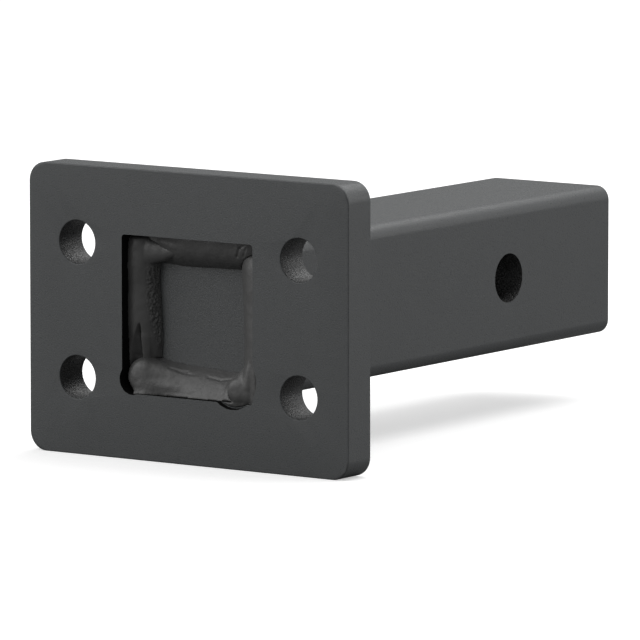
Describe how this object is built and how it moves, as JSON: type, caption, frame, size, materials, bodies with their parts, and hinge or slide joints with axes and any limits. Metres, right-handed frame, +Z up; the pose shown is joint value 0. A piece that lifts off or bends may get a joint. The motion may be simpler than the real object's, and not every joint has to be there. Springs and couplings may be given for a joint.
{
  "type": "pintle hook mount",
  "caption": "Steel plate with bolt holes welded round the end of a solid square shank that has a cross pin hole; carries a pintle hook in a hitch receiver tube.",
  "frame": {"origin": "middle of the bolt pattern, on the plate's front face", "axes": "+X to the right of someone facing the plate, +Y back along the shank, +Z up"},
  "size_m": [0.127, 0.2132, 0.0952],
  "materials": {
    "plate_coat": "black powder coat, fine grain, low sheen",
    "shank_coat": "black powder coat, fine grain, low sheen",
    "weld_coat": "black powder coat run thin and smooth over weld metal"
  },
  "bodies": {
    "root": {"mounting_plate": "plate_coat", "shank_bar": "shank_coat", "front_weld_left": "weld_coat", "front_weld_bottom": "weld_coat", "front_weld_right": "weld_coat", "front_weld_top": "weld_coat", "rear_weld": "weld_coat"}
  },
  "joints": []
}
